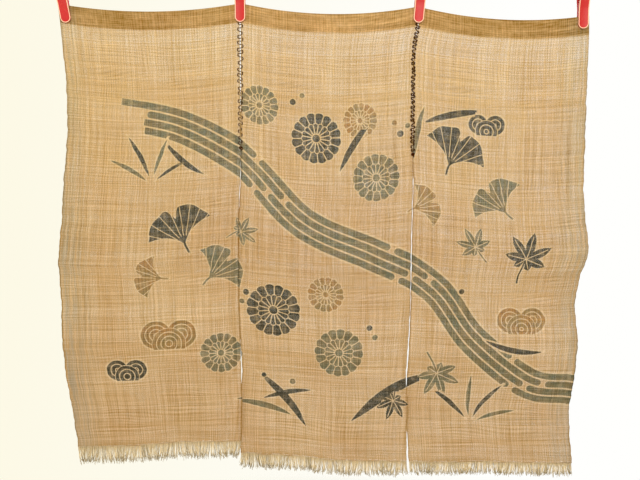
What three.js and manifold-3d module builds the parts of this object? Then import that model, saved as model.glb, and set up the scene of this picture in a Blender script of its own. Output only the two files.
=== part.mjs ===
// Noren curtain of three hand-woven cloth panels, held at its top edge by four hanging clips.
// Millimetres. +X runs to the right along the cloth, -Y is the face that is looked at, +Z is up.
// Origin: midway between the outer selvedges, at the height of the top edge under the second clip.

import * as THREE from 'three';
import { mergeVertices } from 'three/addons/utils/BufferGeometryUtils.js';
import Module from 'manifold-3d';

const wasm = await Module();
wasm.setup();

// Cloth
const THICK = 1.0;            // sheet thickness of the open hemp weave
const HEADER = 38;            // depth of the hem folded to the back at the top
const HEM_GAP = 0.8;          // air between the two layers of that hem
const FOLD = (THICK + HEM_GAP) / 2;   // radius of the fold at the top, on the middle of the cloth
const HELD = 42;              // above this drop the clips hold the cloth flat
const LOOSE = 150;            // below this drop it hangs free
const COLUMNS = 14;           // facets across one panel
const ROW_STEP = 36;          // distance between two sections down a panel
const REACH = 2;              // drop over which the cloth's direction is measured
const TEETH = 28;             // clumps of thread ends along one panel
const NOTCH = 3;              // depth below the weave at which the clumps part

// One clump of thread ends, in clump widths and fringe lengths: its foot and the corners of its
// tip, how far it leans, how far the lengths vary and how far the tip slants.
const CLUMP = { foot: 0.06, left: 0.3, right: 0.7, lean: 0.18, vary: 0.1, slant: 0.04 };

// Where the outer selvedges hang. x: place, stand: how far the edge stands towards the viewer.
const LEFT_EDGE = [
  { drop: 0, x: -512, stand: 0 },
  { drop: 40, x: -508.5, stand: 0 },
  { drop: 140, x: -503.5, stand: -3 },
  { drop: 250, x: -503.5, stand: 1 },
  { drop: 330, x: -511.5, stand: 5 },
  { drop: 410, x: -519, stand: 6 },
  { drop: 490, x: -527, stand: 9 },
  { drop: 570, x: -527, stand: 5 },
  { drop: 650, x: -528, stand: 6 },
  { drop: 730, x: -524, stand: 2 },
  { drop: 810, x: -515, stand: -3 },
  { drop: 905, x: -507, stand: -6 },
];

const RIGHT_EDGE = [
  { drop: 0, x: 513, stand: 0 },
  { drop: 40, x: 514.5, stand: 0 },
  { drop: 150, x: 513.5, stand: 3 },
  { drop: 250, x: 515, stand: 1 },
  { drop: 340, x: 515, stand: 3 },
  { drop: 405, x: 521, stand: 7 },
  { drop: 460, x: 527, stand: 9 },
  { drop: 505, x: 516, stand: 3 },
  { drop: 570, x: 510, stand: -3 },
  { drop: 645, x: 516, stand: 3 },
  { drop: 725, x: 512.5, stand: 0 },
  { drop: 795, x: 507, stand: -5 },
  { drop: 905, x: 515, stand: 2 },
];

// The two lines where neighbouring panels meet. gap: open width, less than 0 where they overlap.
// step: how far the left panel of the pair stands in front of the right one.
const SEAM_ONE = [
  { drop: 0, x: -161, gap: 2.4, stand: 0, step: 0 },
  { drop: 40, x: -161, gap: 2.4, stand: 0, step: 0 },
  { drop: 150, x: -162, gap: 2.2, stand: -1, step: 0 },
  { drop: 200, x: -162.3, gap: 1.2, stand: 0, step: 0 },
  { drop: 280, x: -163, gap: 1.2, stand: 2, step: 0 },
  { drop: 330, x: -163.6, gap: 2.8, stand: 3, step: 1 },
  { drop: 370, x: -166, gap: 2.4, stand: 2.5, step: 1.4 },
  { drop: 410, x: -168.4, gap: 1, stand: 2, step: 1.6 },
  { drop: 490, x: -169.4, gap: 0.9, stand: 5, step: 1.6 },
  { drop: 570, x: -170.8, gap: 0.9, stand: 2, step: 1.6 },
  { drop: 650, x: -169.2, gap: 1.2, stand: 0, step: 2 },
  { drop: 715, x: -166.9, gap: 3, stand: -2, step: 3 },
  { drop: 745, x: -167.4, gap: 1.6, stand: -2, step: 3.6 },
  { drop: 805, x: -169, gap: -5, stand: -2, step: 4 },
  { drop: 905, x: -170.5, gap: -2, stand: 0, step: 4 },
];

const SEAM_TWO = [
  { drop: 0, x: 184.5, gap: 1.8, stand: 0, step: 0 },
  { drop: 32, x: 183.5, gap: 1.8, stand: 0, step: 0 },
  { drop: 68, x: 176.5, gap: 1.6, stand: 0, step: 0 },
  { drop: 140, x: 174.8, gap: 1.8, stand: 2, step: 0 },
  { drop: 190, x: 175, gap: 2.8, stand: 1, step: 0 },
  { drop: 215, x: 175.2, gap: 1.4, stand: 0.5, step: 0 },
  { drop: 240, x: 175.4, gap: 2.4, stand: 0, step: 0 },
  { drop: 290, x: 176.6, gap: 1.2, stand: -1, step: 0.4 },
  { drop: 330, x: 178.4, gap: 2, stand: -2, step: 1 },
  { drop: 410, x: 176.8, gap: 1.8, stand: 1, step: 1.6 },
  { drop: 490, x: 175.6, gap: 2.4, stand: 4, step: 1.6 },
  { drop: 570, x: 176.2, gap: 1.6, stand: 1, step: 1.6 },
  { drop: 650, x: 174, gap: 3, stand: -2, step: 2 },
  { drop: 690, x: 172, gap: 4.2, stand: -2.6, step: 3 },
  { drop: 735, x: 170.4, gap: 2.4, stand: -3, step: 4 },
  { drop: 790, x: 172, gap: -6, stand: -2, step: 4 },
  { drop: 850, x: 173, gap: 1.8, stand: 0, step: 3 },
  { drop: 905, x: 175.5, gap: 2.8, stand: 1, step: 1.6 },
];

// One row a panel. The heights are those of its top edge and of the end of its weave, at the
// left, middle and right. weave: woven length. fringe: free thread ends below it.
const PANELS = [
  {
    name: 'panel_left', from: { rows: LEFT_EDGE, side: 0 }, to: { rows: SEAM_ONE, side: -1 },
    top: [-0.5, -15, 0], bottom: [-887, -879, -871], weave: 880, fringe: 35,
  },
  {
    name: 'panel_middle', from: { rows: SEAM_ONE, side: 1 }, to: { rows: SEAM_TWO, side: -1 },
    top: [0.5, -19.5, -5.5], bottom: [-901, -913.5, -918.5], weave: 900, fringe: 31,
  },
  {
    name: 'panel_right', from: { rows: SEAM_TWO, side: 1 }, to: { rows: RIGHT_EDGE, side: 0 },
    top: [-6.5, -30, -22.5], bottom: [-920, -921.5, -921.5], weave: 900, fringe: 27,
  },
];

// Soft rolls that run down a panel. turns: waves across it, size: height at the bottom.
const ROLLS = {
  panel_left: [{ turns: 1, phase: 0.6, size: 4 }, { turns: 2.3, phase: 2.1, size: 1.6 }],
  panel_middle: [{ turns: 1, phase: 3.4, size: 4.5 }, { turns: 2.1, phase: 0.4, size: 1.8 }],
  panel_right: [{ turns: 1, phase: 1.9, size: 4 }, { turns: 2.6, phase: 4.2, size: 1.6 }],
};

// Storage creases across all three panels. rise: towards the viewer, spread: half width.
const CREASES = [
  { drop: 150, rise: -1.4, spread: 16 },
  { drop: 494, rise: 2.2, spread: 14 },
];

// Hanging clips. x and tip: the middle and the lower end of the jaws, lean: degrees, from upright.
const CLIPS = [
  { name: 'clip_1', x: -495.6, tip: -36.5, lean: 9.2 },
  { name: 'clip_2', x: -160.7, tip: -35.2, lean: 0 },
  { name: 'clip_3', x: 182.8, tip: -36.7, lean: -4.8 },
  { name: 'clip_4', x: 501.6, tip: -47.7, lean: 0.6 },
];
const JAW = {
  width: 20, length: 78, thick: 3, grip: 38, splay: 12, tipRound: 9.6, topRound: 5,
  rim: 2.4, recess: 0.7, clear: 0.3,
};
const SPRING = { radius: 2.9, width: 13, above: 45.4, sides: 20 };

const finish = (color, roughness, metalness = 0) =>
  new THREE.MeshStandardMaterial({ color, roughness, metalness });
const CLOTH = finish(0xcda873, 0.95);
const RED_PLASTIC = finish(0xc8352e, 0.4);
const STEEL = finish(0xb4b2ac, 0.35, 1);

const part = new THREE.Group();

function addPiece(name, geometry, material, group = part) {
  geometry.computeVertexNormals();
  const mesh = new THREE.Mesh(geometry, material);
  mesh.name = name;
  group.add(mesh);
}

const clamp01 = (value) => Math.min(1, Math.max(0, value));

function ease(low, high, value) {
  const t = clamp01((value - low) / (high - low));
  return t * t * (3 - 2 * t);
}

// Smooth reading of one column of a table at any drop.
function readTable(rows, column, drop) {
  const last = rows.length - 1;
  const place = Math.min(rows[last].drop, Math.max(rows[0].drop, drop));
  let k = 0;
  while (k < last - 1 && place > rows[k + 1].drop) k += 1;
  const slope = (i) => {
    const before = rows[Math.max(0, i - 1)];
    const after = rows[Math.min(last, i + 1)];
    return (after[column] - before[column]) / (after.drop - before.drop);
  };
  const span = rows[k + 1].drop - rows[k].drop;
  const t = (place - rows[k].drop) / span;
  const blend = t * t * (3 - 2 * t);
  return rows[k][column] * (1 - blend) + rows[k + 1][column] * blend
    + span * t * (1 - t) * ((1 - t) * slope(k) - t * slope(k + 1));
}

// Curve through a value at the left, in the middle and at the right.
function across([left, middle, right], u) {
  return left * (1 - u) * (1 - 2 * u) + middle * 4 * u * (1 - u) + right * u * (2 * u - 1);
}

function edgeOf({ rows, side }, drop) {
  const gap = side ? readTable(rows, 'gap', drop) : 0;
  const step = side ? readTable(rows, 'step', drop) : 0;
  return {
    x: readTable(rows, 'x', drop) + side * gap / 2,
    stand: readTable(rows, 'stand', drop) - side * step / 2,
  };
}

function rollsAt(panel, u, drop) {
  const grow = 0.4 + 0.6 * drop / panel.weave;
  const height = ROLLS[panel.name].reduce((sum, roll) => (
    sum + roll.size * Math.sin(2 * Math.PI * roll.turns * u + roll.phase)
  ), 0);
  return grow * height * Math.sin(Math.PI * u);
}

function creasesAt(drop) {
  return CREASES.reduce((sum, crease) => (
    sum + crease.rise * Math.exp(-(((drop - crease.drop) / crease.spread) ** 2))
  ), 0);
}

// Middle of the front layer, at u across the panel and at a drop down the cloth.
function clothAt(panel, u, drop) {
  const from = edgeOf(panel.from, drop);
  const to = edgeOf(panel.to, drop);
  const top = across(panel.top, u);
  const fall = (across(panel.bottom, u) - top) / panel.weave;
  const bow = from.stand * (1 - u) + to.stand * u + rollsAt(panel, u, drop) + creasesAt(drop);
  return new THREE.Vector3(
    from.x * (1 - u) + to.x * u,
    -bow * ease(HELD, LOOSE, drop),
    top + fall * drop,
  );
}

// A point of the cloth's skin. turn: 0 on the front layer, 180 on the layer folded to the back.
// out: distance from the middle of the cloth.
function skinAt(panel, { u, drop, turn }, out) {
  const above = Math.max(0, drop - REACH);
  const down = clothAt(panel, u, drop + REACH).sub(clothAt(panel, u, above)).normalize();
  const left = Math.max(0, u - 0.01);
  const right = Math.min(1, u + 0.01);
  const along = clothAt(panel, right, drop).sub(clothAt(panel, left, drop)).normalize();
  const front = along.clone().cross(down).negate().normalize();
  const angle = THREE.MathUtils.degToRad(turn);
  const centre = clothAt(panel, u, drop).addScaledVector(front, -FOLD);
  const ray = front.multiplyScalar(Math.cos(angle)).addScaledVector(down, -Math.sin(angle));
  return centre.addScaledVector(ray, FOLD + out);
}

// Sections of a panel from the end of the folded hem, over the top fold and down to the fringe.
function sectionsOf(panel) {
  const back = [HEADER, HEADER / 2, FOLD].map((drop) => ({ drop, turn: 180 }));
  const over = [135, 90, 45].map((turn) => ({ drop: FOLD, turn }));
  const front = [FOLD, HEADER / 2, HEADER].map((drop) => ({ drop, turn: 0 }));
  const steps = Math.round((panel.weave - HEADER) / ROW_STEP);
  for (let k = 1; k <= steps; k += 1) {
    front.push({ drop: HEADER + (panel.weave - HEADER) * k / steps, turn: 0 });
  }
  return [...back, ...over, ...front];
}

// Lower outline of the comb of thread ends, from left to right: uneven clumps that lean a little.
function combOutline(panel) {
  const points = [];
  for (let k = 0; k < TEETH; k += 1) {
    const lean = CLUMP.lean * Math.sin(k * 1.3 + panel.fringe);
    const length = panel.fringe * (1 - CLUMP.vary + CLUMP.vary * Math.sin(k * 2.4 + panel.weave));
    const foot = k === 0 ? 0 : CLUMP.foot;
    const heel = k === TEETH - 1 ? 1 : 1 - CLUMP.foot;
    const place = (share) => clamp01((k + share) / TEETH);
    points.push({ u: place(foot), drop: panel.weave + NOTCH });
    points.push({ u: place(CLUMP.left + lean), drop: panel.weave + length });
    points.push({ u: place(CLUMP.right + lean), drop: panel.weave + length * (1 - CLUMP.slant) });
    points.push({ u: place(heel), drop: panel.weave + NOTCH });
  }
  return points.map((point) => ({ ...point, turn: 0 }));
}

// The flat net of a panel: its points and its triangles, all wound the same way.
function netOf(panel) {
  const sections = sectionsOf(panel);
  const points = [];
  const triangles = [];
  for (const section of sections) {
    for (let i = 0; i <= COLUMNS; i += 1) points.push({ u: i / COLUMNS, ...section });
  }
  const row = COLUMNS + 1;
  for (let j = 0; j < sections.length - 1; j += 1) {
    for (let i = 0; i < COLUMNS; i += 1) {
      const a = j * row + i;
      triangles.push([a, a + row, a + 1], [a + 1, a + row, a + row + 1]);
    }
  }
  const hem = Array.from({ length: row }, (_, i) => (sections.length - 1) * row + i);
  const comb = combOutline(panel).reverse();
  const loop = [...hem, ...comb.map((point) => points.push(point) - 1)];
  const width = Math.abs(clothAt(panel, 1, panel.weave).x - clothAt(panel, 0, panel.weave).x);
  const flat = loop.map((k) => new THREE.Vector2(points[k].u * width, -points[k].drop));
  for (const [a, b, c] of THREE.ShapeUtils.triangulateShape(flat, [])) {
    const ab = flat[b].clone().sub(flat[a]);
    const ac = flat[c].clone().sub(flat[a]);
    const wound = ab.cross(ac) > 0 ? [a, b, c] : [a, c, b];
    triangles.push(wound.map((k) => loop[k]));
  }
  return { points, triangles };
}

// Closed body of a net: an outer skin, an inner skin and a wall along every open edge.
function panelGeometry(panel) {
  const { points, triangles } = netOf(panel);
  const skins = [THICK / 2, -THICK / 2].flatMap((out) => (
    points.map((point) => skinAt(panel, point, out))
  ));
  const inner = points.length;
  const faces = [];
  const edges = new Set();
  for (const [a, b, c] of triangles) {
    faces.push(a, b, c, inner + a, inner + c, inner + b);
    for (const edge of [[a, b], [b, c], [c, a]]) edges.add(edge.join());
  }
  for (const edge of edges) {
    const [p, q] = edge.split(',').map(Number);
    if (!edges.has(`${q},${p}`)) faces.push(q, p, inner + p, q, inner + p, inner + q);
  }
  const geometry = new THREE.BufferGeometry().setFromPoints(skins);
  geometry.setIndex(faces);
  return geometry;
}

function toSolid(geometry) {
  const bare = geometry.clone();
  bare.deleteAttribute('normal');
  bare.deleteAttribute('uv');
  const merged = mergeVertices(bare, 1e-4);
  return new wasm.Manifold(new wasm.Mesh({
    numProp: 3,
    vertProperties: new Float32Array(merged.attributes.position.array),
    triVerts: new Uint32Array(merged.index.array),
  }));
}

function toGeometry(solid) {
  const mesh = solid.getMesh();
  const geometry = new THREE.BufferGeometry();
  geometry.setAttribute('position', new THREE.BufferAttribute(mesh.vertProperties, 3));
  geometry.setIndex(new THREE.BufferAttribute(mesh.triVerts, 1));
  return geometry;
}

// Side view of a front lever, drawn as (y, z) from the jaw's tip up: flat along the cloth, then
// splayed. shift moves the whole profile outwards.
function leverProfile(inner, shift) {
  const bend = Math.tan(THREE.MathUtils.degToRad(JAW.splay));
  const rise = (JAW.length - JAW.grip) * bend;
  const near = -inner - shift;
  const far = near - JAW.thick;
  return new THREE.Shape([
    new THREE.Vector2(near, 0),
    new THREE.Vector2(near, JAW.grip),
    new THREE.Vector2(near - rise, JAW.length),
    new THREE.Vector2(far - rise, JAW.length),
    new THREE.Vector2(far, JAW.grip),
    new THREE.Vector2(far, 0),
  ]);
}

// Front view of a lever: a narrow tongue with a round lower end, inset on all sides.
function leverOutline(inset) {
  const half = JAW.width / 2 - inset;
  const low = JAW.tipRound - inset;
  const high = JAW.topRound - inset;
  const top = JAW.length - inset;
  const shape = new THREE.Shape();
  shape.moveTo(-half, top - high);
  shape.lineTo(-half, inset + low);
  shape.absarc(-half + low, inset + low, low, Math.PI, 1.5 * Math.PI);
  shape.absarc(half - low, inset + low, low, 1.5 * Math.PI, 2 * Math.PI);
  shape.lineTo(half, top - high);
  shape.absarc(half - high, top - high, high, 0, 0.5 * Math.PI);
  shape.absarc(-half + high, top - high, high, 0.5 * Math.PI, Math.PI);
  return shape;
}

function leverBlank(inner, shift, inset) {
  const side = new THREE.ExtrudeGeometry(leverProfile(inner, shift), {
    depth: JAW.width + 2, bevelEnabled: false,
  });
  side.rotateX(Math.PI / 2);
  side.rotateZ(Math.PI / 2);
  side.translate(-JAW.width / 2 - 1, 0, 0);
  const front = new THREE.ExtrudeGeometry(leverOutline(inset), {
    depth: JAW.width * 2, bevelEnabled: false, curveSegments: 8,
  });
  front.rotateX(Math.PI / 2);
  return toSolid(side).intersect(toSolid(front));
}

// Front lever with a raised rim around its face; the back one is a plain mirror of it.
function addClip(clip) {
  const stack = HEM_GAP + 2 * THICK;
  const inner = stack / 2 + JAW.clear;
  const holder = new THREE.Group();
  holder.position.set(clip.x, FOLD, clip.tip);
  holder.rotation.y = THREE.MathUtils.degToRad(-clip.lean);
  part.add(holder);

  const recess = leverBlank(inner, JAW.thick - JAW.recess, JAW.rim);
  const front = toGeometry(leverBlank(inner, 0, 0).subtract(recess));
  addPiece(`${clip.name}_front_jaw`, front, RED_PLASTIC, holder);

  const back = toGeometry(leverBlank(inner, 0, 0));
  back.rotateZ(Math.PI);
  addPiece(`${clip.name}_back_jaw`, back, RED_PLASTIC, holder);

  const coil = new THREE.CylinderGeometry(
    SPRING.radius, SPRING.radius, SPRING.width, SPRING.sides,
  );
  coil.rotateZ(Math.PI / 2);
  coil.translate(0, 0, SPRING.above);
  addPiece(`${clip.name}_spring`, coil, STEEL, holder);
}

for (const panel of PANELS) addPiece(panel.name, panelGeometry(panel), CLOTH);
for (const clip of CLIPS) addClip(clip);

export default part;
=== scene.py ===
# Noren curtain of three hand-woven hemp panels, hung from four spring clips.
# The model's frame is in metres: +X to the right along the cloth, -Y the face looked at, +Z up.

import math
from collections import namedtuple
from functools import partial

import bmesh
import bpy
import numpy as np
from mathutils import Matrix, Vector


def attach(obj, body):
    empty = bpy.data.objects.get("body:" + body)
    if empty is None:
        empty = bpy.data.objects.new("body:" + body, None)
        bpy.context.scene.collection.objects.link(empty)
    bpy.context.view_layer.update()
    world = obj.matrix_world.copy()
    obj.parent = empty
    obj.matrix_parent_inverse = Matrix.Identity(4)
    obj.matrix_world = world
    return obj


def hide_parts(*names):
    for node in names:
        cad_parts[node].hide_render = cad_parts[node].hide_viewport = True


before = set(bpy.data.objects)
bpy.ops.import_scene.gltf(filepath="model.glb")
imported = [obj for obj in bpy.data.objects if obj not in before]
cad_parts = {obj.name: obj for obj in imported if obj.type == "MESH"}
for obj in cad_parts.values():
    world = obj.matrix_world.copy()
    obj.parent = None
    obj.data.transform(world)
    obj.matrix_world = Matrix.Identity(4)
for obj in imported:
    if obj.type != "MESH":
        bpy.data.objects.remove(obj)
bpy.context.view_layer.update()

MM = 0.001

# Cloth, in millimetres
CLOTH_THICK = 0.4          # hemp gauze
SHEET_THICK = 1.0          # the sheet that carries the cloth's folds in the model
HEADER = 35                # depth of the hem folded to the back at the top
HEM_GAP = 0.8              # air between the layers of that hem
FOLD = (SHEET_THICK + HEM_GAP) / 2
HEM_ROWS = 14              # rows of points down the layer folded to the back
FOLD_STEPS = 6             # facets round the fold at the top
HEM_SEWN = 3.5             # the running stitch above the hem's edge
HELD = 42                  # above this drop the clips hold the cloth flat
LOOSE = 150                # below this drop it hangs free
COLUMNS = 108              # facets across one panel
ROW_STEP = 3.0             # between two rows of facets down a panel
THREAD_PITCH = 1.15        # from one thread to the next, both ways
GRID_PITCH = 4.9           # threads that draw together, as coarse as a render can show them
FRINGE_FOOT = 1.6          # the free threads start this far above the end of the weave
FRINGE_MORE = 1.5          # and are this much longer than the fringe's drop

# Where the selvedges hang, a value for each bend: drop down the cloth, place x, and how far the
# edge stands towards the viewer. gap: open width between two panels, less than 0 where they
# overlap. step: how far the left panel of the pair stands in front of the right one.
LEFT_EDGE = dict(
    drop=[0, 40, 140, 250, 330, 410, 490, 570, 650, 730, 810, 905],
    x=[-512, -508.5, -503.5, -503.5, -511.5, -519, -527, -527, -528, -524, -515, -507],
    stand=[0, 0, -3, 1, 5, 6, 9, 5, 6, 2, -3, -6],
)
RIGHT_EDGE = dict(
    drop=[0, 40, 150, 250, 340, 405, 460, 505, 570, 645, 725, 795, 905],
    x=[513, 514.5, 513.5, 515, 515, 521, 527, 516, 510, 516, 512.5, 507, 515],
    stand=[0, 0, 3, 1, 3, 7, 9, 3, -3, 3, 0, -5, 2],
)
SEAM_ONE = dict(
    drop=[0, 40, 150, 200, 280, 330, 370, 410, 490, 570, 650, 715, 745, 805, 905],
    x=[-161, -161, -162, -162.3, -163, -163.6, -166, -168.4, -169.4, -170.8, -169.2, -166.9,
       -167.4, -169, -170.5],
    gap=[2.4, 2.4, 1.8, 0.3, -0.2, 0.5, 0.7, -0.9, -1.0, -1.0, -0.8, 1.9, 0.8, -5, -2],
    stand=[0, 0, -1, 0, 2, 3, 2.5, 2, 5, 2, 0, -2, -2, -2, 0],
    step=[0, 0, 0, 0.7, 0.9, 1.2, 1.5, 1.8, 1.8, 1.8, 2, 3, 3.6, 4, 4],
)
SEAM_TWO = dict(
    drop=[0, 32, 68, 140, 190, 215, 240, 290, 330, 410, 490, 570, 650, 690, 735, 790, 850, 905],
    x=[184.5, 183.5, 176.5, 174.8, 175, 175.2, 175.4, 176.6, 178.4, 176.8, 175.6, 176.2, 174, 172,
       170.4, 172, 173, 175.5],
    gap=[1.6, 1.4, 0.3, 0.2, 0.9, 0.3, 0.8, -0.4, 0.9, 1.4, 2.0, 1.0, 2.4, 3.2, 1.8, -6, 2.4, 4.6],
    stand=[0, 0, 0, 2, 1, 0.5, 0, -1, -2, 1, 4, 1, -2, -2.6, -3, -2, 0, 1],
    step=[0, 0, 0.4, 0.6, 0.6, 0.7, 0.8, 1.3, 1.4, 1.6, 1.6, 1.6, 2, 3, 4, 4, 3, 1.6],
)

# One row a panel: its edge lines, each with the side of a seam it is on and how far it wavers,
# the heights of its top edge and of the end of its weave at the left, middle and right, its woven
# length, its fringe, the flat size it was cut to, what the print takes its two edges to be, the
# soft rolls down it as turns, phase and size, and the clips that hold it.
PANELS = [
    dict(name="panel_left", start=(LEFT_EDGE, 0, 0.9), end=(SEAM_ONE, -1, 0.45), top=(-0.5, -15, 0),
         bottom=(-891, -883, -874), weave=880, fringe=35, flat=(350, 918), print=(-514, -165),
         rolls=[(1, 0.6, 4), (2.3, 2.1, 1.6)], clips=("clip_1", "clip_2")),
    dict(name="panel_middle", start=(SEAM_ONE, 1, 0.45), end=(SEAM_TWO, -1, 0.5),
         top=(0.5, -19.5, -5.5), bottom=(-901, -913.5, -918.5), weave=900, fringe=31,
         flat=(345, 938), print=(-165, 176), rolls=[(1, 3.4, 4.5), (2.1, 0.4, 1.8)],
         clips=("clip_2", "clip_3")),
    dict(name="panel_right", start=(SEAM_TWO, 1, 0.5), end=(RIGHT_EDGE, 0, 0.9),
         top=(-6.5, -30, -22.5), bottom=(-920, -921.5, -921.5), weave=900, fringe=27,
         flat=(342, 938), print=(176, 516), rolls=[(1, 1.9, 4), (2.6, 4.2, 1.6)],
         clips=("clip_3", "clip_4")),
]
# Wavering of a hand-woven selvedge: lengths of its waves and their shares
WAVERING = [(13, 0.5), (21, 0.6), (34, 0.8), (57, 1.0)]
CREASES = [(150, -1.4, 16), (494, 2.2, 14)]    # drop, rise towards the viewer, half width
COCKLES = (24, 31, 40, 52, 68, 85)             # lengths of a washed cloth's small waves
COCKLE_RISE = 0.0045                           # their height, as a share of their length

# Lacing of the two seams: the panel at its left, the drops between which it runs, its stitch
# length, how far from the edge it bites into the cloth, and the radius of each of its two plies.
LACINGS = [
    dict(name="lacing_left", first=0, start=38, end=276, stitch=12.2, bite=3.5, ply=0.6),
    dict(name="lacing_right", first=1, start=33, end=278, stitch=8.2, bite=2.9, ply=0.84),
]
# The thread's turns in a stitch: reach from the edge and drop, as shares of bite and half stitch,
# and height over the cloth. None: as far out as that stitch stands.
LACING_TURNS = [(0.35, -0.5, -0.9), (0.8, -0.4, 0.8), (1.05, -0.05, None), (0.8, 0.35, 0.8),
                (0.35, 0.5, -0.9)]

# Clips: the middle and lower end of the jaws and their lean in degrees. Sizes of a jaw and of the
# spring are from the tip up.
CLIPS = [
    dict(name="clip_1", x=-495.6, tip=-36.5, lean=9.2),
    dict(name="clip_2", x=-160.7, tip=-35.2, lean=0),
    dict(name="clip_3", x=182.8, tip=-36.7, lean=-4.8),
    dict(name="clip_4", x=501.6, tip=-47.7, lean=0.6),
]
JAW = dict(width=20, length=78, grip=38, splay=12, tip_round=9.6, top_round=5)
JAW_OFF = (HEM_GAP + 2 * SHEET_THICK) / 2 + 0.3    # a jaw's inner side from the clip's middle
SPRING = dict(radius=2.9, width=13, above=45.4, wire=0.45, turns=11.5, leg=20, toe=5)

# The print, laid out on the flat cloth. ink: dye, x and z: a motif's middle, or the foot of a
# blade, size: its radius, or a blade's length, turn: degrees clockwise, bend: degrees over a
# blade's length.
FLOWER, GINKGO, MAPLE, WAVES, BLADE, DOT = range(1, 7)
SLATE, GREY, OCHRE = "#4E4937", "#877E5E", "#AE8C55"
Motif = namedtuple("Motif", "kind ink x z size turn bend", defaults=(0, 0))
MOTIFS = [Motif(kind, *row) for kind, rows in {
    FLOWER: [(SLATE, -15, -240, 50, 8), (GREY, 103, -318, 47, 20), (GREY, -128, -186, 38, 0),
             (OCHRE, 72, -205, 34, 4), (SLATE, -96, -592, 54, 14), (GREY, 36, -672, 50, 3),
             (OCHRE, 8, -552, 36, 9), (GREY, -204, -690, 42, 0)],
    GINKGO: [(SLATE, 262, -258, 58, 24), (GREY, 342, -352, 52, -38), (OCHRE, 200, -372, 40, 64),
             (SLATE, -284, -426, 60, -22), (GREY, -200, -512, 52, 48),
             (OCHRE, -340, -524, 40, -80)],
    MAPLE: [(SLATE, 398, -470, 56, 18), (GREY, 300, -448, 42, -30), (GREY, 236, -712, 54, 160),
            (SLATE, 146, -772, 42, 200), (GREY, -160, -440, 36, 74)],
    WAVES: [(OCHRE, -306, -640, 60), (SLATE, -392, -712, 44), (OCHRE, 404, -592, 54),
            (SLATE, 322, -200, 40)],
    BLADE: [(SLATE, 60, -816, 200, 44, 30), (SLATE, -30, -834, 150, -30, -26),
            (GREY, -60, -812, 120, -64, -30), (SLATE, 30, -306, 128, 24, 18),
            (GREY, 178, -286, 106, 4, 14), (SLATE, 196, -214, 130, 62, 24),
            (SLATE, -236, -322, 110, -64, 30), (GREY, -350, -330, 86, -52, -20),
            (SLATE, -346, -322, 92, -22, -16), (GREY, -338, -320, 78, 12, 14),
            (SLATE, -332, -328, 72, 48, 22), (SLATE, 330, -640, 120, 118, -34),
            (SLATE, 300, -806, 96, -38, -24), (GREY, 308, -802, 88, -6, 12),
            (SLATE, 316, -806, 92, 28, 20), (GREY, 324, -812, 84, 62, 24),
            (SLATE, -120, -780, 104, 66, 20)],
    DOT: [(SLATE, -62, -172, 6), (GREY, -44, -158, 5), (SLATE, 152, -236, 6.5),
          (GREY, 166, -222, 5), (OCHRE, 140, -214, 5), (SLATE, -150, -560, 6),
          (GREY, -158, -580, 5), (SLATE, 96, -620, 6), (GREY, 108, -640, 5.5),
          (SLATE, 280, -540, 5.5), (GREY, -60, -740, 6), (SLATE, -120, -730, 5)],
}.items() for row in rows]
# The course of a stream of dyed bands through the print, and its bands
STREAM = [(-420, -196), (-290, -222), (-160, -300), (-40, -408), (100, -470), (226, -540),
          (306, -640), (420, -728), (500, -742)]
BANDS = 4
BAND_PITCH = 16.5
BAND_HALF = 6.6
BAND_LENGTH = 165.0        # from one break in a band to the next
STREAM_REACH = BANDS * BAND_PITCH / 2
MOTIF_PAD = 5.5            # what a motif keeps free round itself, on the mesh
BLADE_WIDTH = 0.055        # half width of a blade, as a share of its length
PETALS = 16
LINE_HALF = 0.95           # half width of a line kept free of dye
FAR = 99.0


def linear(hex_colour):
    """An sRGB hex colour as linear RGBA."""
    channels = [int(hex_colour[i:i + 2], 16) / 255 for i in (1, 3, 5)]
    return (*[c / 12.92 if c <= 0.04045 else ((c + 0.055) / 1.055) ** 2.4 for c in channels], 1.0)


# How the cloth hangs

def ease(low, high, value):
    t = np.clip((value - low) / (high - low), 0, 1)
    return t * t * (3 - 2 * t)


def read_table(table, column, drop):
    """Smooth reading of one column of a table at any drops."""
    places, values = np.array(table["drop"], float), np.array(table[column], float)
    last = len(places) - 1
    order = np.arange(last + 1)
    before, after = np.maximum(order - 1, 0), np.minimum(order + 1, last)
    slopes = (values[after] - values[before]) / (places[after] - places[before])
    drop = np.clip(drop, places[0], places[-1])
    k = np.clip(np.searchsorted(places, drop, side="left") - 1, 0, last - 1)
    span = places[k + 1] - places[k]
    t = (drop - places[k]) / span
    blend = t * t * (3 - 2 * t)
    swing = span * t * (1 - t) * ((1 - t) * slopes[k] - t * slopes[k + 1])
    return values[k] * (1 - blend) + values[k + 1] * blend + swing


def smooth_line(points, per_piece):
    """Rounds a list of points into a closely spaced line through them."""
    points = np.asarray(points, float)
    last = len(points) - 1
    steps = np.linspace(0, last, last * per_piece + 1)
    k = np.clip(steps.astype(int), 0, last - 1)
    t = (steps - k)[:, None]
    before, after = np.maximum(k - 1, 0), np.minimum(k + 2, last)
    pull_in, pull_out = (points[k + 1] - points[before]) / 2, (points[after] - points[k]) / 2
    blend = t * t * (3 - 2 * t)
    return (points[k] * (1 - blend) + points[k + 1] * blend
            + t * (1 - t) * ((1 - t) * pull_in - t * pull_out))


def across(ends, u):
    """A value at u across a panel, from those at its left, middle and right."""
    left, middle, right = ends
    return left * (1 - u) * (1 - 2 * u) + middle * 4 * u * (1 - u) + right * u * (2 * u - 1)


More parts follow.
